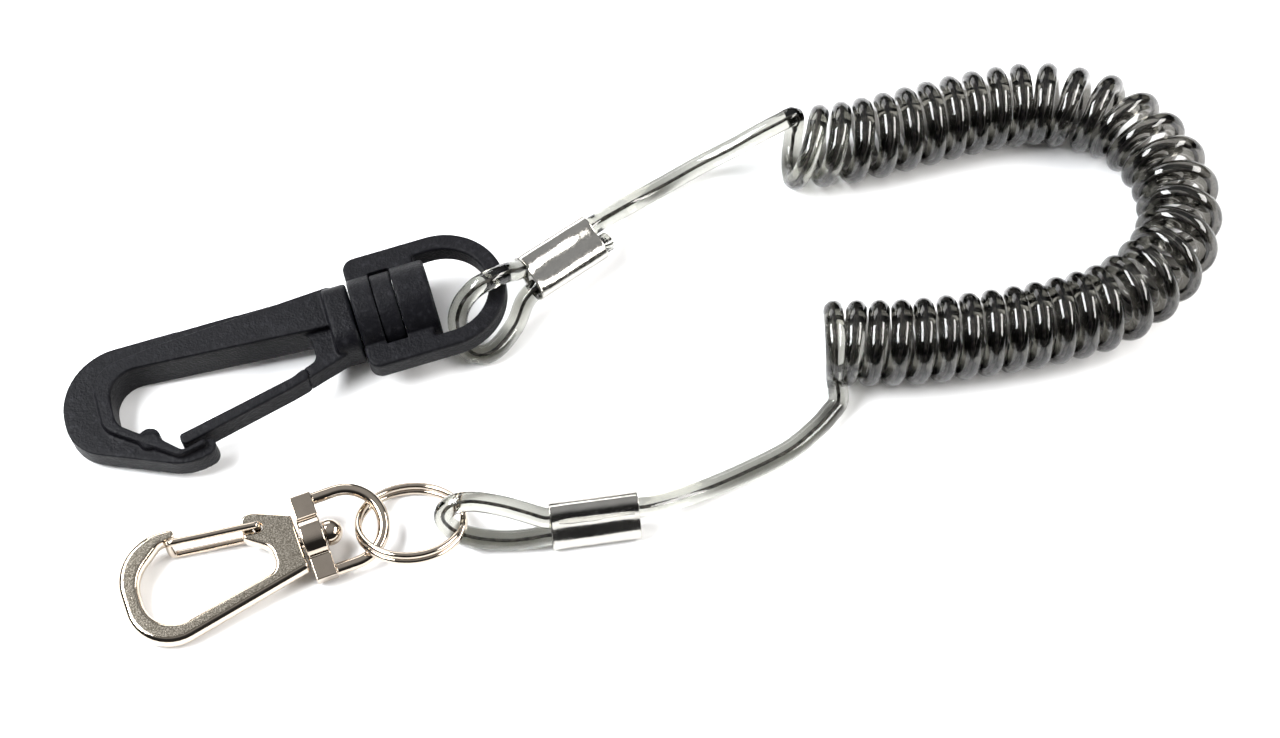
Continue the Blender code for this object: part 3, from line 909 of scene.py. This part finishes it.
def hook_moulding(parent, material):
    """The hook: a plate, a thicker rim, a bump inside its nose, a neck, and a post with its disc."""
    plate = add_plate("plate", rounded_outline(HOOK_OUTLINE), HOOK_HALF_PLATE, parent)
    bevel(plate, 0.9, 3)
    rim = add_plate("rim", rounded_outline(RIM_OUTLINE), HOOK_HALF_RIM, parent)
    bevel(rim, 0.5, 3)
    boolean(plate, rim, "UNION")
    bump = add_plate("bump", circle(NOSE_BUMP, NOSE_BUMP_RADIUS), HOOK_HALF_RIM - NOSE_BUMP_SINK, parent)
    boolean(plate, bump, "UNION")
    neck_outline = box_outline(NECK_WIDTH / 2, NECK_THICKNESS / 2, NECK_CORNER)
    neck = add_object("neck", plate_mesh("neck", neck_outline, *NECK_SPAN), parent)
    neck.rotation_euler = (math.pi / 2, 0.0, math.pi / 2)
    neck.location.y = NECK_SHIFT * MM
    bevel(neck, 0.5, 2)
    boolean(plate, neck, "UNION")
    disc_start, disc_end = DISC_SPAN
    post_profile = [
        (POST_START, 0.0),
        (POST_START, POST_RADIUS),
        (disc_start, POST_RADIUS),
        (disc_start, DISC_RADIUS - DISC_EDGE),
        (disc_start + DISC_EDGE, DISC_RADIUS),
        (disc_end - DISC_EDGE, DISC_RADIUS),
        (disc_end, DISC_RADIUS - DISC_EDGE),
        (disc_end, 0.0),
    ]
    boolean(plate, add_turned("post", post_profile, parent), "UNION")
    melt(plate, 0.2, 3)
    settled(plate, "hook_moulding", "hook", material, ["snap_hook_body"])


def gate_moulding(parent, material):
    gate = add_plate("gate", rounded_outline(GATE_OUTLINE), GATE_THICKNESS / 2, parent)
    bevel(gate, 0.4, 2)
    melt(gate, 0.16, 2)
    settled(gate, "hook_gate_moulding", "hook_gate", material, ["snap_hook_gate"])


def loop_outline(start, end, half_width, corner):
    """A D shape: rounded corners at the start, a half circle at the end."""
    centre = end - half_width
    outline = rounded_outline([
        (centre, half_width, 0.0),
        (start, half_width, corner),
        (start, -half_width, corner),
        (centre, -half_width, 0.0),
    ])
    for step in range(1, HALF_CIRCLE_STEPS):
        angle = -math.pi / 2 + math.pi * step / HALF_CIRCLE_STEPS
        outline.append(Vector((centre + half_width * math.cos(angle), half_width * math.sin(angle))))
    return outline


def swivel_eye_moulding(parent, material):
    """The barrel that holds the disc, with its window cut across, and the loop for the cord's eye."""
    half = LOOP_THICKNESS / 2
    outer = loop_outline(BARREL_SPAN[0], LOOP_LENGTH, LOOP_HALF_WIDTH, LOOP_CORNER)
    eye = add_plate("eye", outer, half, parent)
    inner = loop_outline(
        LOOP_HOLE_START, LOOP_LENGTH - LOOP_RAIL, LOOP_HALF_WIDTH - LOOP_RAIL, LOOP_HOLE_CORNER
    )
    boolean(eye, add_plate("hole", inner, half + 2 * CUTTER_MARGIN, parent), "DIFFERENCE")
    bevel(eye, 0.45, 2)
    low, high = BARREL_SPAN
    barrel_profile = [
        (low, 0.0),
        (low, BARREL_RADIUS - BARREL_EDGE),
        (low + BARREL_EDGE, BARREL_RADIUS),
        (high - BARREL_EDGE, BARREL_RADIUS),
        (high, BARREL_RADIUS - BARREL_EDGE),
        (high, 0.0),
    ]
    boolean(eye, add_turned("barrel", barrel_profile, parent), "UNION")
    window_size = (DISC_RADIUS + WINDOW_CLEARANCE, BARREL_RADIUS + CUTTER_MARGIN)
    window_low = (WINDOW_SPAN[0], -window_size[0], -window_size[1])
    window = block_mesh("window", window_low, (WINDOW_SPAN[1], *window_size))
    boolean(eye, add_object("window", window, parent), "DIFFERENCE")
    melt(eye, 0.18, 2)
    settled(eye, "swivel_eye_moulding", "hook_eye", material, ["snap_hook_swivel_eye"])


# ---------------------------------------------------------------- the metal clip


def clip_casting(parent, material):
    half = CLIP_THICKNESS / 2
    body = add_object("casting", cast_plate_mesh("casting", CLIP_OUTLINE, half, CLIP_ROLL), parent)
    melt(body, 0.12, 4)
    drill = add_plate("drill", circle(CLIP_PIVOT, PIVOT_HOLE_RADIUS), half + CUTTER_MARGIN, parent)
    boolean(body, drill, "DIFFERENCE")
    settled(body, "clip_casting", "clip", material, ["clip_body"])


def clip_wire(parent, material):
    """One wire through the pivot hole, out along both faces of the clip and closed round its nose."""
    height = GATE_WIRE_HEIGHT
    heel = GATE_WIRE_HEEL
    tip_u, tip_v = GATE_WIRE_TIP
    half_route = [
        Vector((0.0, 0.0, 0.35)),
        Vector((0.0, 0.0, height - heel)),
        Vector((-0.3 * heel, 0.03, height - 0.2 * heel)),
        Vector((-heel, 0.07, height)),
        Vector((-4.0, 0.55, height)),
        Vector((-9.0, 1.22, height)),
        Vector((tip_u + 1.0, tip_v - 0.11, height)),
        Vector((tip_u + 0.3, tip_v - 0.03, height - 0.3)),
        Vector((tip_u, tip_v, height - 1.0)),
    ]
    other_half = [Vector((p.x, p.y, -p.z)) for p in reversed(half_route)]
    route = smooth_route(half_route + other_half, 0.2)
    wire = add_object("wire", swept_mesh("wire", route, round_section(GATE_WIRE_RADIUS, 20)), parent)
    settled(wire, "clip_gate_wire", "wire_gate", material, ["clip_wire_gate"])


def clip_rivet(parent, material):
    """A shank through the bail, with a ball for its head."""
    dome_steps = 16
    head = BAIL_SPAN[1] + RIVET_HEAD_GAP
    centre = RIVET_SPAN[1] - RIVET_HEAD_RADIUS
    low = math.asin((head - centre) / RIVET_HEAD_RADIUS)
    profile = [(RIVET_SPAN[0], 0.0), (RIVET_SPAN[0], RIVET_SHANK_RADIUS), (head, RIVET_SHANK_RADIUS)]
    for step in range(dome_steps):
        angle = low + (math.pi / 2 - low) * step / dome_steps
        profile.append((centre + RIVET_HEAD_RADIUS * math.sin(angle), RIVET_HEAD_RADIUS * math.cos(angle)))
    profile.append((RIVET_SPAN[1], 0.0))
    rivet = add_turned("rivet", profile, parent, 48)
    settled(rivet, "clip_swivel_pin", "clip", material, ["clip_swivel_rivet"], sharp=50)


def bail_casting(parent, material):
    """A flat bar with a boss and a bore in its middle, and a round arch from end to end."""
    start, end = BAIL_SPAN
    half = BAIL_BAR_THICKNESS / 2
    bar_mesh = block_mesh("bar", (start, -BAIL_HALF_WIDTH, -half), (end, BAIL_HALF_WIDTH, half))
    bar = add_object("bar", bar_mesh, parent)
    bevel(bar, 0.18, 2)
    across = BAIL_HALF_WIDTH - BAIL_WIRE_RADIUS
    route = [Vector((BAIL_WIRE_ROOT, -across, 0.0))]
    for step in range(HALF_CIRCLE_STEPS + 1):
        angle = math.pi * step / HALF_CIRCLE_STEPS
        route.append(Vector((BAIL_ARC_CENTRE + across * math.sin(angle), -across * math.cos(angle), 0.0)))
    route.append(Vector((BAIL_WIRE_ROOT, across, 0.0)))
    arch = add_object("arch", swept_mesh("arch", route, round_section(BAIL_WIRE_RADIUS, 24)), parent)
    boolean(bar, arch, "UNION")
    boss_profile = [
        (start - 0.1, 0.0),
        (start - 0.1, BOSS_RADIUS - 0.15),
        (start + 0.05, BOSS_RADIUS),
        (end - 0.25, BOSS_RADIUS),
        (end - 0.1, BOSS_RADIUS - 0.15),
        (end - 0.1, 0.0),
    ]
    boolean(bar, add_turned("boss", boss_profile, parent), "UNION")
    bore_radius = RIVET_SHANK_RADIUS + BORE_CLEARANCE
    bore_start, bore_end = BORE_SPAN
    bore_profile = [(bore_start, 0.0), (bore_start, bore_radius), (bore_end, bore_radius), (bore_end, 0.0)]
    boolean(bar, add_turned("bore", bore_profile, parent, 32), "DIFFERENCE")
    melt(bar, 0.1, 2)
    settled(bar, "bail_casting", "bail", material, ["clip_bail"])


def split_ring(parent, material):
    """One wire wound twice round, stepping from the lower turn to the upper one beside its cut ends."""
    lift = RING_WIRE / 2
    route = []
    for step in range(RING_STEPS + 1):
        turned = RING_GAP + (2 * math.tau - 2 * RING_GAP) * step / RING_STEPS
        climb = min(1.0, max(-1.0, (turned - math.tau) / RING_CLIMB))
        angle = math.radians(RING_START) + turned
        height = lift * math.sin(climb * math.pi / 2) * RING_TOUCH_SHARE
        route.append(Vector((RING_RADIUS * math.cos(angle), RING_RADIUS * math.sin(angle), height)))
    section = round_section(lift * RING_TOUCH_SHARE, 20)
    ring = add_object("ring", swept_mesh("ring", route, section), parent)
    settled(ring, "split_ring_wire", "ring", material, ["split_ring"], sharp=60)


# ---------------------------------------------------------------- sleeves and cord


def sleeve_tube(name, parent, material, replaced, valley, seed):
    """An oval ferrule crushed over two strands: ridged along each strand, dented, its ends recessed."""
    rng = np.random.default_rng(seed)
    dents = []
    for _ in range(SLEEVE_DENTS):
        at, round_at = rng.uniform(-5.5, 6.5), rng.uniform(0, math.tau)
        width, depth = rng.uniform(0.8, 2.2), rng.uniform(0.03, 0.1)
        dents.append((at, round_at, width, depth))
    half = SLEEVE_LENGTH / 2
    # The valley is shallower at the ends, where the mouths flare a little.
    valley_fade = 0.35
    flare = 0.08
    flare_start = 0.88
    flare_length = 0.12
    dent_reach = 2.8
    shape = bmesh.new()

    def ring(u, shrink):
        loop = []
        share = u / half
        for step in range(SLEEVE_SIDES):
            angle = math.tau * step / SLEEVE_SIDES
            across = math.copysign(abs(math.cos(angle)) ** SLEEVE_SQUARENESS, math.cos(angle))
            through = math.copysign(abs(math.sin(angle)) ** SLEEVE_SQUARENESS, math.sin(angle))
            v = (SLEEVE_WIDTH / 2 - shrink) * across
            pressed_here = math.exp(-((v - VALLEY_SHIFT) / VALLEY_HALF_WIDTH) ** 2)
            press = valley * pressed_here * (1.0 - valley_fade * share * share)
            press -= flare * max(0.0, abs(share) - flare_start) / flare_length
            for at, round_at, width, depth in dents:
                away = math.hypot((u - at) / width, dent_reach * math.sin((angle - round_at) / 2))
                press += depth * math.exp(-away * away)
            w = (SLEEVE_THICKNESS / 2 - shrink - press) * through
            loop.append(shape.verts.new(Vector((u, v, w)) * MM))
        return loop

    loops = [ring(-half + SLEEVE_RECESS, SLEEVE_WALL), ring(-half, SLEEVE_WALL)]
    for station in range(SLEEVE_STATIONS + 1):
        loops.append(ring(-half + SLEEVE_LENGTH * station / SLEEVE_STATIONS, 0.0))
    loops += [ring(half, SLEEVE_WALL), ring(half - SLEEVE_RECESS, SLEEVE_WALL)]
    for near, far in zip(loops, loops[1:]):
        for index in range(SLEEVE_SIDES):
            after = (index + 1) % SLEEVE_SIDES
            shape.faces.new((near[index], near[after], far[after], far[index]))
    shape.faces.new(loops[0])
    shape.faces.new(loops[-1])
    sleeve = add_object(name, mesh_from(name, shape), parent)
    bevel(sleeve, 0.1, 2, 60)
    settled(sleeve, name, "cord", material, replaced, sharp=50)


def coil_points():
    """The helix: left-handed turns round the coil's axis, the first few leaning back."""
    axis_route = [Vector((x, y, COIL_RADIUS + FLOOR_GAP)) for x, y in COIL_AXIS_ROUTE]
    axis = smooth_route(axis_route, AXIS_SPACING)
    last = len(axis) - 1
    along = np.cumsum([0.0] + [(b - a).length for a, b in zip(axis, axis[1:])])
    places = [at if at >= 0 else along[-1] + at for at, _ in COIL_KNOTS]
    turns = np.interp(along, places, [turn for _, turn in COIL_KNOTS])
    kernel = np.hanning(KNOT_BLUR_WIDTH)
    kernel /= kernel.sum()
    margin = len(kernel) // 2
    run_in = turns[0] + (turns[1] - turns[0]) * np.arange(-margin, 0)
    run_out = turns[-1] + AXIS_SPACING / END_PITCH * np.arange(1, margin + 1)
    turns = np.convolve(np.concatenate([run_in, turns, run_out]), kernel, "valid")
    radius = COIL_RADIUS - CORD_RADIUS
    points = []
    steps = round((LAST_TURN - FIRST_TURN) * TURN_STEPS)
    for step in range(steps + 1):
        turn = FIRST_TURN + (LAST_TURN - FIRST_TURN) * step / steps
        angle = turn * math.tau + math.radians(TURN_ZERO)
        index = min(last, int(np.searchsorted(turns, turn)))
        ahead_point = axis[min(index + AXIS_SLOPE_REACH, last)]
        ahead = (ahead_point - axis[max(index - AXIS_SLOPE_REACH, 0)]).normalized()
        left = Vector((-ahead.y, ahead.x, 0.0))
        lean = FIRST_LEAN * max(0.0, 1.0 - turn / LEANING_TURNS) ** LEAN_FADE
        back = lean * (1 - math.cos(turn * math.tau)) / 2
        last_ring = max(0.0, 1.0 - (LAST_TURN - turn) / LAST_RING_SHARE)
        back += LAST_LEAN * last_ring * last_ring
        out = Vector((0, 0, math.cos(angle))) + left * math.sin(angle)
        points.append(axis[index] + radius * out - ahead * back)
    return points


def sleeve_strand(place, side, reach_out, reach_in):
    """Points straight through a sleeve along one of its two strands, from its +u end to its -u end."""
    at, (heading, tilt, roll) = place
    turn = Matrix.Rotation(math.radians(heading), 3, "Z")
    turn = turn @ Matrix.Rotation(math.radians(-tilt), 3, "Y")
    turn = turn @ Matrix.Rotation(math.radians(roll), 3, "X")
    half = SLEEVE_LENGTH / 2
    stations = (half + reach_out, half - STRAND_STEP, -half + STRAND_STEP, -half - reach_in)
    return [Vector(at) + turn @ Vector((u, side * STRAND_OFFSET, 0.0)) for u in stations]


def cord_route():
    """The whole cord, from the cut end at the upper sleeve to the end hidden in the lower one."""
    inset = (-STRAND_INSET, -STRAND_INSET)
    points = [
        *sleeve_strand(UPPER_STRANDS, -1, CUT_END_REACH, -STRAND_INSET),
        *reversed(UPPER_EYE_ROUTE),
        *reversed(sleeve_strand(UPPER_STRANDS, 1, *inset)),
        *UPPER_LEAD_ROUTE,
        *coil_points(),
        *LOWER_LEAD_ROUTE,
        *sleeve_strand(LOWER_STRANDS, 1, *inset),
        *LOWER_EYE_ROUTE,
        *reversed(sleeve_strand(LOWER_STRANDS, -1, *inset)),
    ]
    return smooth_route([Vector(point) for point in points], CORD_SPACING)


def cut_wires(parent, material):
    """The core's wires splayed out of the cut end, with torn flakes of jacket round the sleeve's mouth."""
    rng = np.random.default_rng(CUT_END_SEED)
    half = SLEEVE_LENGTH / 2
    shape = bmesh.new()
    for _ in range(CUT_WIRES):
        root = Vector((half - 1.0, -STRAND_OFFSET + rng.uniform(-0.4, 0.4), rng.uniform(-0.3, 0.5)))
        aim = Vector((1.0, rng.uniform(-0.55, 0.45), rng.uniform(-0.15, 0.5))).normalized()
        reach = rng.uniform(2.2, 3.6)
        bend = Vector((0.0, rng.uniform(-0.35, 0.35), rng.uniform(-0.2, 0.4)))
        route = smooth_route([root, root + aim * reach * 0.5, root + aim * reach + bend], 0.25)
        wire = swept_mesh("wire", route, round_section(CUT_WIRE_RADIUS, 6))
        shape.from_mesh(wire)
        bpy.data.meshes.remove(wire)
    for _ in range(TORN_FLAKES):
        u = half + rng.uniform(0.1, 1.2)
        v = -STRAND_OFFSET + rng.uniform(-1.9, 1.3)
        centre = Vector((u, v, rng.uniform(-0.6, 1.4)))
        corners = []
        for _ in range(5):
            corner = centre + Vector(rng.uniform(-FLAKE_SIZE, FLAKE_SIZE, 3))
            corners.append(shape.verts.new(MM * corner))
        bmesh.ops.convex_hull(shape, input=corners)
    wires = add_object("wires", mesh_from("wires", shape), parent)
    piece = settled(wires, "cut_core_wires", "cord", material, sharp=30)


def swell(point):
    """How thick the cord is here: a little thicker in the coil than in the leads."""
    share = (point.x - SHADE_AND_SWELL_SPAN[0]) / (SHADE_AND_SWELL_SPAN[1] - SHADE_AND_SWELL_SPAN[0])
    return 1.0 + COILED_SWELL * min(1.0, max(0.0, share))


def build_cord(jacket_material, core_material):
    """The jacket and its core along the whole route. Returns the length in metres."""
    route = cord_route()
    length = sum((b - a).length for a, b in zip(route, route[1:])) * MM
    jacket_mesh = swept_mesh("cord_jacket", route, round_section(CORD_RADIUS, CORD_SIDES), swell=swell)
    jacket = settled(add_object("jacket", jacket_mesh), "cord_jacket", "cord", jacket_material, [
        "cord_end_upper",
        "cord_eye_upper",
        "cord_lead_upper",
        "cord_coil",
        "cord_lead_lower",
        "cord_eye_lower",
    ], sharp=60)
    core_section = [
        (CORE_RADIUS * (1.0 if step % 2 else CORE_GROOVE_SHARE), math.tau * step / CORE_SIDES)
        for step in range(CORE_SIDES)
    ]
    core_mesh = swept_mesh("core", smooth_route(route, CORE_SPACING), core_section, twist=CORE_TWIST)
    core = settled(add_object("core", core_mesh), "cord_core", "cord", core_material, sharp=80)
    return length


def main():
    add_camera()
    strand = steel_strand()
    length = build_cord(smoke_jacket(), strand)
    print(f"cord length {length:.4f} m")
    add_studio()
    plastic = black_plastic()
    bright = bright_nickel("bright_nickel_plate", (0.54, 0.465, 0.385), (0.05, 0.11), 0.03)
    sleeve_metal = bright_nickel("crimped_nickel_sleeve", (0.52, 0.505, 0.47), (0.1, 0.22), 0.07)
    hook_frame = placed_frame("hook_frame", HOOK_SWIVEL)
    hook_moulding(hook_frame, plastic)
    gate_moulding(hook_frame, plastic)
    swivel_eye_moulding(hook_frame, plastic)
    clip_frame = placed_frame("clip_frame", CLIP_SWIVEL)
    bpy.context.view_layer.update()
    satin = satin_nickel(clip_frame.matrix_world.to_3x3() @ Vector((0.0, 0.0, 1.0)))
    clip_casting(clip_frame, satin)
    clip_rivet(clip_frame, bright)
    pivot_frame = placed_frame("pivot_frame", ((*CLIP_PIVOT, 0.0), (0.0, 0.0, 0.0)), clip_frame)
    clip_wire(pivot_frame, bright)
    clip_at, (clip_heading, clip_tilt, _) = CLIP_SWIVEL
    bail_casting(placed_frame("bail_frame", (clip_at, (clip_heading, clip_tilt, BAIL_ROLL))), bright)
    split_ring(placed_frame("ring_frame", RING_PLACE), bright)
    upper = placed_frame("upper_frame", UPPER_SLEEVE)
    sleeve_tube("sleeve_upper", upper, sleeve_metal, ["crimp_sleeve_upper"], UPPER_VALLEY, UPPER_SEED)
    cut_wires(upper, strand)
    lower = placed_frame("lower_frame", LOWER_SLEEVE)
    sleeve_tube("sleeve_lower", lower, sleeve_metal, ["crimp_sleeve_lower"], LOWER_VALLEY, LOWER_SEED)
    clear_helpers()


main()
